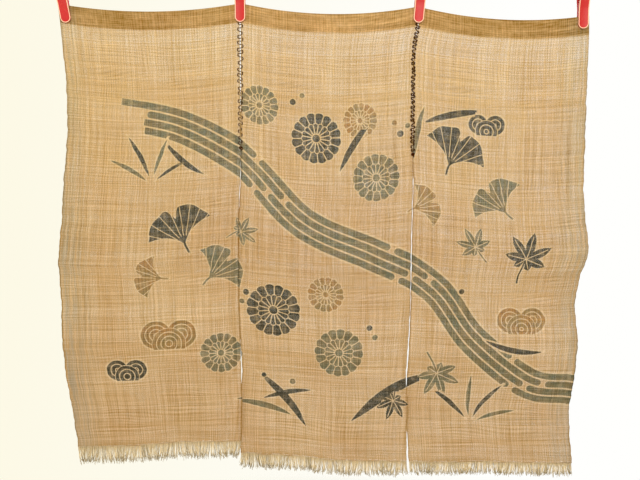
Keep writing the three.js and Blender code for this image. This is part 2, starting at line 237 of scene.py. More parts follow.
def edge_of(line, drop):
    """Place x of an edge and how far it stands towards the viewer."""
    table, side, waver = line
    gap, step = (read_table(table, key, drop) if side else 0 for key in ("gap", "step"))
    waves = sum(share * np.sin(math.tau * drop / length + side * length + table["x"][1])
                for length, share in WAVERING)
    waves = waver * 0.5 * waves * ease(HEADER, LOOSE, drop)
    x = read_table(table, "x", drop) + side * gap / 2 + waves
    return x, read_table(table, "stand", drop) - side * step / 2


def cloth_at(panel, u, drop):
    """Middle of the front layer, in millimetres, at u across a panel and at a drop down it."""
    u, drop = np.broadcast_arrays(np.asarray(u, float), np.asarray(drop, float))
    x_start, stand_start = edge_of(panel["start"], drop)
    x_end, stand_end = edge_of(panel["end"], drop)
    top = across(panel["top"], u)
    fall = (across(panel["bottom"], u) - top) / panel["weave"]
    rolls = sum(size * np.sin(math.tau * turns * u + phase) for turns, phase, size in panel["rolls"])
    rolls = rolls * (0.4 + 0.6 * drop / panel["weave"]) * np.sin(math.pi * u)
    creases = sum(rise * np.exp(-((drop - at) / spread) ** 2) for at, rise, spread in CREASES)
    bow = stand_start * (1 - u) + stand_end * u + rolls + creases
    x = x_start * (1 - u) + x_end * u
    return np.stack([x, -bow * ease(HELD, LOOSE, drop), top + fall * drop], axis=-1)


def unit(vectors):
    return vectors / np.linalg.norm(vectors, axis=-1, keepdims=True)


def skin_at(panel, u, drop, turn=0.0, out=0.0):
    """A point of the cloth. turn: 0 on the front layer, pi on the layer folded to the back."""
    reach, share = 2, 0.01
    down = unit(cloth_at(panel, u, drop + reach) - cloth_at(panel, u, np.maximum(drop - reach, 0)))
    along = unit(cloth_at(panel, np.minimum(u + share, 1), drop)
                 - cloth_at(panel, np.maximum(u - share, 0), drop))
    front = unit(np.cross(down, along))
    turn = np.asarray(turn, float)[..., None]
    ray = front * np.cos(turn) - down * np.sin(turn)
    return cloth_at(panel, u, drop) - front * FOLD + ray * (FOLD + np.asarray(out)[..., None])


# Objects and trees

def keep(name, mesh, *materials):
    """A piece in the scene made of a mesh."""
    mesh.name = name
    piece = bpy.data.objects.new(name, mesh)
    bpy.context.scene.collection.objects.link(piece)
    for material in materials:
        mesh.materials.append(material)
    return piece


def mesh_of(name, points_mm, faces=(), edges=()):
    mesh = bpy.data.meshes.new(name)
    mesh.from_pydata((np.asarray(points_mm) * MM).tolist(), edges, faces)
    return mesh


def line_mesh(name, points_mm):
    """A mesh of one open line of edges."""
    return mesh_of(name, points_mm, edges=[(k, k + 1) for k in range(len(points_mm) - 1)])


# Signs for the maths in a tree, as in m("*", a, b)
SIGNS = {"+": "Math.ADD", "-": "Math.SUBTRACT", "*": "Math.MULTIPLY", "/": "Math.DIVIDE",
         "*+": "Math.MULTIPLY_ADD", ">": "Math.GREATER_THAN", "<": "Math.LESS_THAN",
         "min": "Math.MINIMUM", "max": "Math.MAXIMUM", "abs": "Math.ABSOLUTE",
         "sqrt": "Math.SQRT", "sin": "Math.SINE", "cos": "Math.COSINE"}


def add(tree, kind, *inputs, sockets=None, **settings):
    """Adds a node. inputs fill its sockets in order, None skips one; sockets fills them by name.

    kind is a sign, or a node's type without its ShaderNode or the like in front, and may end in an
    operation or data type, as in Math.POWER. A list of nodes goes into one socket that takes several.
    """
    kind, _, mode = SIGNS.get(kind, kind).partition(".")
    node = tree.nodes.new(next(
        prefix + kind for prefix in ("ShaderNode", "GeometryNode", "FunctionNode", "Node")
        if hasattr(bpy.types, prefix + kind)))
    if mode:
        setattr(node, "operation" if hasattr(node, "operation") else "data_type", mode)
    for name, value in settings.items():
        setattr(node, name, value)
    usable = [socket for socket in node.inputs if socket.enabled]
    by_name = {socket.name: socket for socket in usable}
    wanted = [pair for pair in zip(usable, inputs) if pair[1] is not None]
    wanted += [(by_name[name], value) for name, value in (sockets or {}).items()]
    for socket, value in wanted:
        for source in value if isinstance(value, list) else [value]:
            if isinstance(source, bpy.types.Node):
                source = next(output for output in source.outputs if output.enabled)
            if isinstance(source, bpy.types.NodeSocket):
                tree.links.new(source, socket)
            else:
                socket.default_value = source
    return node


def start_material(name):
    """A material, what adds its nodes, and the place on the object that they read, in metres."""
    material = bpy.data.materials.new(name)
    material.use_nodes = True
    material.node_tree.nodes.clear()
    m = partial(add, material.node_tree)
    return material, m, m("TexCoord").outputs["Object"]


def start_geometry(name, sizes):
    """A Geometry Nodes tree with a mesh input and a named input for each size."""
    tree = bpy.data.node_groups.new(name, "GeometryNodeTree")
    for in_out in ("OUTPUT", "INPUT"):
        tree.interface.new_socket("Mesh", in_out=in_out, socket_type="NodeSocketGeometry")
    for label, value in sizes.items():
        kind = "NodeSocketInt" if isinstance(value, int) else "NodeSocketFloat"
        tree.interface.new_socket(label, in_out="INPUT", socket_type=kind).default_value = value
    return tree, partial(add, tree), add(tree, "GroupInput").outputs


def finish_geometry(tree, m, tubes, material):
    """Ends a tree with its tubes shaded smooth, realized and given their material."""
    tubes = m("RealizeInstances", m("SetShadeSmooth", tubes))
    m("GroupOutput", m("SetMaterial", tubes, None, material))
    return tree


def grow(name, base, tree, **sizes):
    """Runs a tree on a base mesh, with the sizes given by their labels, and keeps a plain mesh."""
    carrier = bpy.data.objects.new(name, base)
    bpy.context.scene.collection.objects.link(carrier)
    modifier = carrier.modifiers.new(tree.name, "NODES")
    modifier.node_group = tree
    for item in tree.interface.items_tree:
        if item.in_out == "INPUT" and item.name in sizes:
            modifier[item.identifier] = sizes[item.name]
    graph = bpy.context.evaluated_depsgraph_get()
    grown = bpy.data.meshes.new_from_object(carrier.evaluated_get(graph), depsgraph=graph)
    carrier.modifiers.remove(modifier)
    carrier.data = grown
    grown.name = name
    bpy.data.meshes.remove(base)
    return carrier


# The print's place on the cloth

def in_motif(motif, x, z):
    """A point of the flat cloth in a motif's own millimetres: to its right, and up or along it."""
    turn = math.radians(motif.turn)
    dx, dz = x - motif.x, z - motif.z
    p, q = dx * math.cos(turn) - dz * math.sin(turn), dx * math.sin(turn) + dz * math.cos(turn)
    if motif.bend:
        side = math.copysign(1, motif.bend)
        radius = motif.size / math.radians(abs(motif.bend))
        centre_off = radius - p * side
        p, q = side * (radius - np.hypot(centre_off, q)), radius * np.arctan2(q, centre_off)
    return p, q


def claim(motif, p, q):
    """How strongly a motif claims a point: under 1 inside the room that it needs."""
    if motif.kind != BLADE:
        return np.hypot(p, q) / (motif.size + MOTIF_PAD)
    half = motif.size / 2
    return np.maximum(np.abs(p) / (BLADE_WIDTH * motif.size + MOTIF_PAD),
                      np.abs(q - half) / (half + MOTIF_PAD))


def motif_attributes(x, z, quads):
    """For each face the motif it lies in and its ink, and for each face corner the place in it."""
    middle_x, middle_z = x[quads].mean(axis=1), z[quads].mean(axis=1)
    claims = np.array([claim(motif, *in_motif(motif, middle_x, middle_z)) for motif in MOTIFS])
    chosen = np.where(claims.min(axis=0) < 1, claims.argmin(axis=0), -1)
    kinds, inks, places = np.zeros(len(quads)), np.zeros((len(quads), 4)), np.zeros((*quads.shape, 3))
    for number, motif in enumerate(MOTIFS):
        inside = chosen == number
        corners = quads[inside]
        kinds[inside] = motif.kind
        inks[inside] = linear(motif.ink)
        places[inside] = np.stack([*in_motif(motif, x[corners], z[corners]),
                                   np.full(corners.shape, motif.size)], axis=-1)
    return kinds, inks, places


def stream_attribute(x, z):
    """For each vertex how far along the stream it lies and how far to its side."""
    course = smooth_line(STREAM, 75)
    pieces = np.diff(course, axis=0)
    lengths = np.linalg.norm(pieces, axis=1)
    along = np.concatenate([[0], np.cumsum(lengths)])
    place = np.zeros((len(x), 3))
    place[:, 1] = 10 * STREAM_REACH
    near = np.flatnonzero((z < max(course[:, 1]) + STREAM_REACH * 2)
                          & (z > min(course[:, 1]) - STREAM_REACH * 2))
    points = np.stack([x[near], z[near]], axis=1)
    distance = np.linalg.norm(points[:, None] - course[None], axis=2)
    nearest = np.clip(distance.argmin(axis=1), 0, len(pieces) - 1)
    ahead = pieces[nearest] / lengths[nearest, None]
    away = points - course[nearest]
    place[near, 0] = along[nearest] + (away * ahead).sum(axis=1)
    place[near, 1] = ahead[:, 0] * away[:, 1] - ahead[:, 1] * away[:, 0]
    return place


# The print's shapes. Each function gets a place in a motif in millimetres, up, to the right and
# from its middle, and returns how far it lies inside the dyed shape and how far from the nearest
# line kept free of dye. Bare numbers are shares of the motif's size, or millimetres.

def flower_shape(m, q, p, r, size):
    """A chrysanthemum from above: two rings of sixteen round petals about a button."""
    turn = m("*", m("Math.ARCTAN2", p, q), PETALS / 2)
    outer, inner = m("abs", m("cos", turn)), m("abs", m("sin", turn))
    rim = m("*", size, m("*+", m("sqrt", outer), 0.11, 0.88))
    ring = m("*", size, m("*+", m("sqrt", inner), 0.09, 0.5))
    petal = m("Mix", m(">", r, ring), inner, outer)
    seam = m("*", petal, m("*", r, 2 / PETALS))
    button = m("-", r, m("*", size, 0.17))
    seam = m("*+", m("<", button, 0.0), FAR, seam)
    line = m("min", seam, m("abs", m("-", r, ring)))
    return m("-", rim, r), m("min", line, m("abs", button))


def stalk_shape(m, p, up, size, bend, half, foot, top):
    """A leaf's stalk that bends aside as it goes down, between its foot and its top."""
    off = m("abs", m("-", p, m("*", m("/", m("*", up, up), size), bend)))
    stalk = m("min", m("-", m("*", size, half), off), m("*+", size, foot, up))
    return m("min", stalk, m("-", m("*", size, top), up))


def ginkgo_shape(m, q, p, r, size):
    """A fan-shaped leaf, split in the middle, on a bent stalk."""
    up = m("*+", size, 0.62, q)
    reach = m("sqrt", m("*+", p, p, m("*", up, up)))
    turn = m("Math.ARCTAN2", p, up)
    bow = m("*", turn, turn)
    split = m("Math.EXPONENT", m("*", bow, -90.0))
    wave = m("cos", m("*+", turn, 11.0, 0.8))
    edge = m("*+", bow, -0.14, m("*+", split, -0.42, 1.36))
    edge = m("*", size, m("*+", wave, 0.022, edge))
    spread = m("*+", m("/", reach, size), 0.5, 0.5)
    side = m("*", reach, m("-", spread, m("abs", turn)))
    blade = m("min", m("-", edge, reach), side)
    veins = 7.2
    vein = m("abs", m("sin", m("*+", turn, math.pi * veins / 2, 0.9)))
    vein = m("*", vein, m("*", reach, 2 / math.pi / veins))
    vein = m("*+", m("<", reach, m("*", size, 0.3)), FAR, vein)
    stalk = stalk_shape(m, p, up, size, bend=0.45, half=0.035, foot=0.34, top=0.1)
    return m("max", blade, stalk), m("*", vein, 1.3)


def maple_shape(m, q, p, r, size):
    """A maple leaf of seven pointed lobes on a stalk."""
    lobe_turn = 0.82
    turn = m("Math.ARCTAN2", p, q)
    lobe = m("Math.ROUND", m("/", turn, lobe_turn))
    off = m("-", turn, m("*", lobe, lobe_turn))
    order = m("*", lobe, lobe)
    length = m("*", size, m("*+", order, -0.062, 1.0))
    along = m("/", m("*", r, m("cos", off)), length)
    beside = m("abs", m("*", r, m("sin", off)))
    left_over = m("max", m("-", 1.0, along), 0.0)
    half = m("*", m("*", along, left_over), m("*", size, 0.62))
    teeth = m("Math.PINGPONG", m("*", along, size), 2.4)
    half = m("*+", teeth, 0.32, m("-", half, 0.4))
    leaf = m("*+", m(">", along, 1.0), -FAR, m("-", half, beside))
    rib = m("*+", m(">", along, 0.86), FAR, beside)
    rib = m("*+", m(">", order, 9.5), FAR, rib)
    stalk = stalk_shape(m, p, q, size, bend=0.16, half=0.03, foot=0.9, top=0.0)
    return m("max", leaf, stalk), m("*", rib, 1.25)


def waves_shape(m, q, p, r, size):
    """Three rounded wave crests, one in front, each ruled with rings."""
    crests = []
    for x, z, share in ((-0.42, -0.1, 0.5), (0.42, -0.1, 0.5), (0, -0.42, 0.56)):
        dx, dz = m("*+", size, -x, p), m("*+", size, -z, q)
        depth = m("-", m("*", size, share), m("sqrt", m("*+", dx, dx, m("*", dz, dz))))
        crests.append((depth, m("Math.PINGPONG", m("-", depth, 0.3), 4.4)))
    left, right, (front, front_line) = crests
    on_right = m(">", p, 0.0)
    back, back_line = [m("Mix", on_right, *pair) for pair in zip(left, right)]
    body = m("min", m("max", back, front), m("*+", size, 0.62, q))
    return body, m("Mix", m(">", front, 0.0), back_line, front_line)


def blade_shape(m, q, p, r, size):
    """A long blade of grass, pointed at both ends."""
    share = m("/", q, size)
    half = m("*", m("max", share, 0.0), m("max", m("-", 1.0, share), 0.0))
    half = m("*", m("Math.POWER", half, 0.75), m("*", size, 2.8 * BLADE_WIDTH))
    return m("-", half, m("+", m("abs", p), 0.6)), FAR


def dot_shape(m, q, p, r, size):
    """A round drop."""
    return m("-", size, r), FAR


def stream_shape(m, along, aside):
    """Bands of flowing water that break off with round ends, each at places of its own."""
    lanes = m("*+", aside, 1 / BAND_PITCH, BANDS / 2)
    off = m("*", m("-", m("Math.FRACT", lanes), 0.5), BAND_PITCH)
    own = m("TexWhiteNoise", m("+", m("Math.FLOOR", lanes), 0.5), noise_dimensions="1D")
    course = m("*+", own, 2 * BAND_LENGTH, along)
    cap = m("min", m("-", m("Math.PINGPONG", course, BAND_LENGTH), 5.0 + BAND_HALF), 0.0)
    body = m("-", BAND_HALF, m("sqrt", m("*+", off, off, m("*", cap, cap))))
    room = m("-", STREAM_REACH, m("abs", aside))
    start = m("-", along, m("*+", own, 60.0, 8.0))
    return m("min", m("min", body, room), start)


SHAPES = {FLOWER: flower_shape, GINKGO: ginkgo_shape, MAPLE: maple_shape, WAVES: waves_shape,
          BLADE: blade_shape, DOT: dot_shape}


def print_on_cloth(m, ragged):
    """Where the dye lies, its colour, and the pale rim that the paste kept round it."""
    spot = m("SeparateXYZ", m("Attribute", attribute_name="motif_place").outputs["Vector"]).outputs
    p, q, size = spot[0], spot[1], m("max", spot[2], 1.0)
    r = m("sqrt", m("*+", p, p, m("*", q, q)))
    kind = m("Attribute", attribute_name="motif_kind").outputs["Fac"]
    body, line = -FAR, FAR
    for number, shape in SHAPES.items():
        its_body, its_line = shape(m, q, p, r, size)
        chosen = m("Math.COMPARE", kind, number, 0.25)
        body, line = m("Mix", chosen, body, its_body), m("Mix", chosen, line, its_line)
    course = m("SeparateXYZ", m("Attribute", attribute_name="stream_place").outputs["Vector"]).outputs
    clear, soft = 3.4, 1.6
    stream = m("min", stream_shape(m, course[0], course[1]), m("-", -clear, body))
    free = m("-", line, m("*+", ragged, 0.5, LINE_HALF))
    motif = m("*", m("*+", m("+", body, ragged), soft, 0.5, use_clamp=True),
              m("*+", free, soft, 0.5, use_clamp=True))
    bands = m("*+", m("+", stream, ragged), soft, 0.5, use_clamp=True)
    own_ink = m("Attribute", attribute_name="motif_ink").outputs["Color"]
    ink = m("Mix.RGBA", motif, linear(GREY), own_ink)
    rim = m("MapRange", m("+", m("max", body, stream), ragged), -3.2, -1.2, 0.0, 1.0)
    return m("max", motif, bands), ink, rim


# Materials

def threads(m, place, along, share, key):
    """One set of parallel threads: how far each covers a point, its number, roundness and tone."""
    slub_length, slub_swing, own_swing, thinnest = 26.0, 0.42, 0.34, 0.12
    number = m("Math.FLOOR", place)
    off = m("abs", m("-", m("Math.FRACT", place), 0.5))
    own = m("TexWhiteNoise", m("+", number, key), noise_dimensions="1D")
    chance = m("SeparateColor", own.outputs["Color"]).outputs
    spot = m("CombineXYZ", m("*", number, 7.31), m("/", along, slub_length))
    slub = m("-", m("TexNoise", spot, 1.0, 1.0, noise_dimensions="2D"), 0.5)
    width = m("*+", m("-", chance[0], 0.5), own_swing, share)
    half = m("max", m("*", m("*+", slub, slub_swing, width), 0.5), thinnest)
    cover = m("*+", m("-", half, off), 9.0, 0.5, use_clamp=True)
    bulge = m("*+", m("*", off, off), -4.0, 1.0)
    return cover, number, bulge, m("*+", slub, 0.8, chance[1])


def hemp_cloth():
    """Hemp gauze, spun and woven by hand: round uneven threads with light between them.

    Light also comes through the fibres, golden, so the cloth is brighter in one layer than in
    two. The print is dyed through, so it shows on both faces. Threads and gaps are drawn at their
    real pitch of 1.15 mm; the groups that they draw together into are as coarse as a render needs.
    """
    cloth, m, spot = start_material("hand_woven_hemp")
    flat = m("VectorMath.SCALE", m("UVMap", uv_map="flat"), 1 / MM)
    hung = m("VectorMath.SCALE", spot, 1 / MM)
    edges = m("Attribute", attribute_name="from_edges").outputs["Vector"]
    x, y, _ = m("SeparateXYZ", flat).outputs
    hung_x, _, hung_z = m("SeparateXYZ", hung).outputs
    selvedge, drop, _ = m("SeparateXYZ", edges).outputs

    def uneven(length_x, length_y, detail=1.0):
        """Noise about 0 with patches of these lengths across and down the flat cloth."""
        place = m("VectorMath.MULTIPLY", flat, (1 / length_x, 1 / length_y, 0))
        return m("-", m("TexNoise", place, 1.0, detail, noise_dimensions="2D"), 0.5)

    dyed, ink, rim = print_on_cloth(m, m("*", uneven(1.6, 1.6, 2.0), 1.9))

    # The share of open gaps: most just below the header, least low on the left and under the print
    header = m("<", drop, float(HEADER))
    low = m("MapRange", hung_z, 0.0, -880.0, 0.0, 1.0)
    high = m("MapRange", drop, 50.0, 130.0, 1.0, 0.0)
    gaps = m("*+", high, 0.1, m("*+", low, -0.09, 0.18))
    gaps = m("*+", m("MapRange", hung_x, -500.0, 500.0, -1.0, 1.0), 0.02, gaps)
    gaps = m("*+", uneven(60, 90), 0.09, gaps)
    gaps = m("Mix", header, m("Mix", dyed, gaps, m("*", gaps, 0.5)), 0.1)
    share = m("-", 1.0, m("sqrt", m("max", gaps, 0.01)))

    # Warp and weft, over and under each other; the last wefts have come away above the fringe
    warp_place = m("*+", x, 1 / THREAD_PITCH, m("*", uneven(9, 120), 2.4))
    weft_place = m("*+", y, 1 / THREAD_PITCH, m("*", uneven(120, 9), 2.4))
    warp_cover, warp, warp_bulge, warp_tone = threads(m, warp_place, y, share, 0.5)
    weft_cover, weft, weft_bulge, weft_tone = threads(m, weft_place, x, share, 900.5)
    frayed = m("*+", uneven(9, 1.5), 9.0, 2.5)
    cover = m("max", warp_cover, m("*", weft_cover, m(">", y, frayed)))
    over = m("Math.FLOORED_MODULO", m("+", warp, weft), 2.0)
    warp_height = m("*", warp_bulge, m("*+", over, 0.5, 0.5))
    weft_height = m("*", weft_bulge, m("*+", over, -0.5, 1.0))
    tone = m("-", m("Mix", m(">", warp_height, weft_height), weft_tone, warp_tone), 0.5)

    # Shade: fine and broad streaks of like threads, single threads, painted shade that darkens the
    # cloth towards the bottom, a header that is stained in places and darker towards its outer ends,
    # the lines of the grid, and painted shade in a thin line along each selvedge and along the fold at
    # the top
    streak, broad = m("+", uneven(2.5, 180), uneven(180, 2.5)), m("+", uneven(7, 170), uneven(170, 7))
    shade = m("*+", streak, 0.62, m("*+", broad, 0.1, 1.0))
    # Painted shade: the cloth is made darker towards the bottom, as light from above falls off there
    shade = m("*+", low, -0.07, m("*+", tone, 0.12, shade))
    ends = m("MapRange", m("abs", hung_x), 60.0, 360.0, 0.17, -0.07)
    header_tone = m("*+", m("+", uneven(11, 8, 2.0), uneven(90, 14)), 0.6, ends)
    shade = m("*+", header_tone, header, shade)
    strength = m("*+", high, 0.1, m("*+", uneven(55, 45), 0.55, 0.16, use_clamp=True))
    for place_across, drift in ((x, uneven(60, 300)), (y, uneven(300, 60))):
        phase = m("*+", drift, 22.0, m("*", place_across, math.pi / GRID_PITCH))
        line = m("-", 0.64, m("abs", m("sin", phase)))
        shade = m("-", shade, m("*", line, strength))
    # Painted shade: a thin darker line along each selvedge
    shade = m("*", shade, m("MapRange", selvedge, 1.0, 2.6, 0.66, 1.0))
    # Painted shadow: a dark line along the fold at the top of the header
    shade = m("*", shade, m("MapRange", drop, 1.2, 3.6, 0.7, 1.0))

    # Colour: broad age tone, a browner middle, greyer outer edges and the print's pale rims
    off = m("VectorMath.MULTIPLY", m("VectorMath.SUBTRACT", hung, (0, 0, -440)), (1 / 300, 0, 1 / 150))
    away = m("VectorMath.LENGTH", off)
    brown = m("Math.EXPONENT", m("*", m("*", away, away), -1.0))
    blotch = m("-", m("TexNoise", m("VectorMath.SCALE", hung, 1 / 130), 1.0, 2.0), 0.5)
    age = m("*+", blotch, 1.1, m("*+", brown, 0.5, 0.35), use_clamp=True)
    thread = m("Mix.RGBA", age, linear("#D0B27A"), linear("#C0985D"))
    outer = m("MapRange", m("abs", hung_x), 450.0, 515.0, 0.0, 0.7)
    outer = m("*", outer, m("*+", uneven(4, 90), 2.5, 0.6, use_clamp=True))
    thread = m("Mix.RGBA", outer, thread, linear("#A9A083"))
    thread = m("Mix.RGBA", m("*", rim, 0.6), thread, linear("#E3CB97"))
    # Darker threads are also a little browner than paler ones, and the lower cloth is greyer
    faded = m("Mix.RGBA", low, (1, 0.985, 0.88, 1), (1, 1.03, 1.3, 1))
    swing = m("-", shade, 1.0)
    swing = m("CombineXYZ", swing, swing, swing)
    thread = m("VectorMath.MULTIPLY_ADD", swing, (0.4, 0.38, 0.3), thread)
    thread = m("VectorMath.MULTIPLY", m("VectorMath.MAXIMUM", thread, (0.02, 0.01, 0.005)), faded)
    # Dye: worn in patches, weaker on pale threads, and uneven in its cast
    cast = m("*+", uneven(26, 26), 2.6, 0.5, use_clamp=True)
    cast = m("Mix.RGBA", cast, (0.86, 0.96, 0.96, 1), (1.1, 0.98, 0.8, 1))
    ink = m("VectorMath.SCALE", m("VectorMath.MULTIPLY", ink, cast), shade)
    worn = m("*+", uneven(14, 14, 3.0), 0.9, 0.94, use_clamp=True)
    depth = m("*", dyed, m("*+", tone, -0.35, worn, use_clamp=True))
    colour = m("Mix.RGBA", depth, thread, ink)
    pale = m("VectorMath.MULTIPLY_ADD", swing, (0.5, 0.5, 0.4), linear("#F8E2AC")[:3])
    glow = m("Mix.RGBA", m("*+", depth, -0.5, 0.5), colour, m("VectorMath.MULTIPLY", pale, faded))

    height = m("max", warp_height, weft_height)
    bump = m("Bump", sockets={"Strength": 0.5, "Distance": 0.0003, "Height": height})
    lit = m("BsdfPrincipled", sockets={
        "Base Color": colour, "Roughness": 0.85, "Specular IOR Level": 0.25,
        "Sheen Weight": 0.12, "Sheen Roughness": 0.5, "Normal": bump})
    fibre = m("MixShader", 0.5, lit, m("BsdfTranslucent", glow, bump))
    m("OutputMaterial", m("MixShader", cover, m("BsdfTransparent"), fibre))
    return cloth


def spun_fibres(m, spot, colour, rough, gloss):
    """The surface of a spun thread, with its fibres, and the bump that they make."""
    fibres = m("TexNoise", m("VectorMath.SCALE", spot, 2500.0), 1.0, 2.0)
    bump = m("Bump", sockets={"Strength": 0.4, "Distance": 0.0002, "Height": fibres})
    return m("BsdfPrincipled", sockets={
        "Base Color": colour, "Roughness": rough, "Specular IOR Level": gloss, "Normal": bump}), bump


def loose_hemp():
    """The same hemp as single threads: tan at the weave, paler where they spread, and darker at the
    tips as painted shade of their clumps.
    """
    hemp, m, spot = start_material("loose_hemp_threads")
    along = m("Attribute", attribute_name="along").outputs["Fac"]
    strand = m("Attribute", attribute_name="strand").outputs["Fac"]
    own = m("TexWhiteNoise", m("+", strand, 3.3), noise_dimensions="1D")
    own = m("MapRange", own, 0.0, 0.5, 0.0, 1.0)
    pale = m("Mix.RGBA", own, linear("#A6905C"), linear("#FBEECA"))
    pale = m("Mix.RGBA", m("MapRange", along, 0.0, 0.4, 0.5, 0.0), pale, linear("#D6BE8E"))
    # Painted shade: the tips are darkened where the threads lean together into clumps
    colour = m("Mix.RGBA", m("MapRange", along, 0.7, 1.0, 0.0, 0.6), pale, linear("#9C8A60"))
    lit, bump = spun_fibres(m, spot, colour, 0.85, 0.25)
    m("OutputMaterial", m("MixShader", 0.5, lit, m("BsdfTranslucent", colour, bump)))
    return hemp


def twisted_thread(name, dark, pale):
    """Twisted bast thread: matt, its two plies shaded by their own roundness."""
    thread, m, spot = start_material(name)
    wear = m("TexNoise", m("VectorMath.SCALE", spot, 240.0), 1.0, 2.0)
    colour = m("Mix.RGBA", wear, linear(dark), linear(pale))
    m("OutputMaterial", spun_fibres(m, spot, colour, 0.95, 0.08)[0])
    return thread


def moulded_plastic(name, face, worn):
    """Moulded ABS: smooth and glossy, with handling marks that dull it and rub its edges pale."""
    plastic, m, spot = start_material(name)
    marks = m("TexNoise", m("VectorMath.SCALE", spot, 320.0), 1.0, 4.0)
    flow = m("TexNoise", m("VectorMath.SCALE", spot, 90.0), 1.0, 1.0)
    tint = m("MapRange", m("+", marks, m("*", flow, 0.4)), 0.74, 1.0, 0.0, 0.5)
    colour = m("Mix.RGBA", tint, linear(face), linear(worn))
    rough = m("MapRange", marks, 0.3, 0.7, 0.36, 0.55)
    bump = m("Bump", sockets={"Strength": 0.12, "Distance": 0.0001, "Height": marks})
    m("OutputMaterial", m("BsdfPrincipled", sockets={
        "Base Color": colour, "Roughness": rough, "IOR": 1.54, "Specular IOR Level": 0.3,
        "Normal": bump}))
    return plastic


def drawn_steel():
    """Drawn spring wire: bright, with fine lines and a dull film of age in places."""
    steel, m, spot = start_material("drawn_steel_wire")
    film = m("TexNoise", m("VectorMath.SCALE", spot, 500.0), 1.0, 3.0)
    colour = m("Mix.RGBA", film, linear("#C9C6BF"), linear("#9A958A"))
    rough = m("MapRange", film, 0.3, 0.7, 0.22, 0.42)
    m("OutputMaterial", m("BsdfPrincipled", sockets={
        "Base Color": colour, "Metallic": 1.0, "Roughness": rough}))
    return steel


def studio_floor():
    """Seamless pale paper that fades into the background away from the object."""
    paper, m, spot = start_material("studio_floor")
    seen = m("MapRange", m("VectorMath.LENGTH", spot), 0.4, 0.75, 1.0, 0.0,
             interpolation_type="SMOOTHSTEP")
    lit = m("BsdfDiffuse", linear("#EFECE2"))
    m("OutputMaterial", m("MixShader", seen, m("BsdfTransparent"), lit))
    return paper


# Cloth pieces

def wrinkles_at(x, z):
    """Small cockles of a washed cloth, in millimetres towards the viewer."""
    draw = np.random.default_rng(11)
    height = np.zeros(np.shape(x))
    for length in COCKLES:
        angle, phase = draw.uniform(0, math.pi), draw.uniform(0, math.tau)
        way = x * math.cos(angle) + z * math.sin(angle)
        height += COCKLE_RISE * length * np.sin(math.tau * way / length + phase)
    return height


def cloth_sheet(panel, material):
    """One panel: a closed sheet over its folded hem, with its flat map and the print's places."""
    weave, width = panel["weave"], panel["flat"][0]
    back = np.linspace(HEADER, FOLD, HEM_ROWS)
    over = np.linspace(math.pi, 0, FOLD_STEPS + 1)[1:-1]
    front = np.linspace(FOLD, weave, round((weave - FOLD) / ROW_STEP) + 1)
    drop = np.concatenate([back, np.full(len(over), FOLD), front])
    turn = np.concatenate([np.full(len(back), math.pi), over, np.zeros(len(front))])
    flat = np.concatenate([-back, FOLD * (1 - 2 * over / math.pi), front])
    u = np.linspace(0, 1, COLUMNS + 1)
    grid_u, grid_drop = np.meshgrid(u, drop)
    grid_turn, grid_flat = (np.meshgrid(u, row)[1] for row in (turn, flat))
    start, end = panel["print"]
    print_x = (start + (end - start) * grid_u).ravel()
    print_z = -grid_flat.ravel()

    free = ease(HELD, LOOSE, grid_drop) * wrinkles_at(print_x, print_z).reshape(grid_u.shape)
    skins = [skin_at(panel, grid_u, grid_drop, grid_turn, out + free).reshape(-1, 3)
             for out in (CLOTH_THICK / 2, -CLOTH_THICK / 2)]
    count = grid_u.size
    number = np.arange(count).reshape(grid_u.shape)
    corners = number[:-1, :-1], number[1:, :-1], number[1:, 1:], number[:-1, 1:]
    quads = np.stack([corner.ravel() for corner in corners], axis=1)
    border = [(number[0, 1:], number[0, :-1]), (number[-1, :-1], number[-1, 1:]),
              (number[:-1, 0], number[1:, 0]), (number[1:, -1], number[:-1, -1])]
    walls = [np.stack([q, p, p + count, q + count], axis=1) for p, q in border]
    faces = np.concatenate([quads, quads[:, ::-1] + count, *walls])
    mesh = mesh_of(panel["name"], np.concatenate(skins), faces.tolist())

    x, z = np.tile(print_x, 2), np.tile(print_z, 2)
    kinds, inks, places = motif_attributes(x, z, faces)
    # The flat map: from the left selvedge, and up from the end of the weave
    flat_map = np.stack([grid_u * width, weave - grid_flat], axis=-1).reshape(-1, 2)
    flat_map = np.tile(flat_map, (2, 1))
    mesh.uv_layers.new(name="flat").data.foreach_set("uv", (flat_map[faces] * MM).ravel())
    # Millimetres from the nearer selvedge, and down from the top
    from_edges = np.stack([np.minimum(grid_u, 1 - grid_u) * width, grid_drop, 0 * grid_u], axis=-1)
    from_edges = np.tile(from_edges.reshape(-1, 3), (2, 1))
    for name, kind, domain, key, values in (
            ("from_edges", "FLOAT_VECTOR", "POINT", "vector", from_edges),
            ("motif_kind", "FLOAT", "FACE", "value", kinds),
            ("motif_ink", "FLOAT_COLOR", "FACE", "color", inks),
            ("motif_place", "FLOAT_VECTOR", "CORNER", "vector", places),
            ("stream_place", "FLOAT_VECTOR", "POINT", "vector", stream_attribute(x, z))):
        attribute = mesh.attributes.new(name, kind, domain)
        attribute.data.foreach_set(key, values.astype(np.float32).ravel())
    mesh.polygons.foreach_set("use_smooth", np.arange(len(faces)) < 2 * len(quads))
    mesh.set_sharp_from_angle(angle=math.radians(50))
    return keep(panel["name"] + "_cloth", mesh, material)


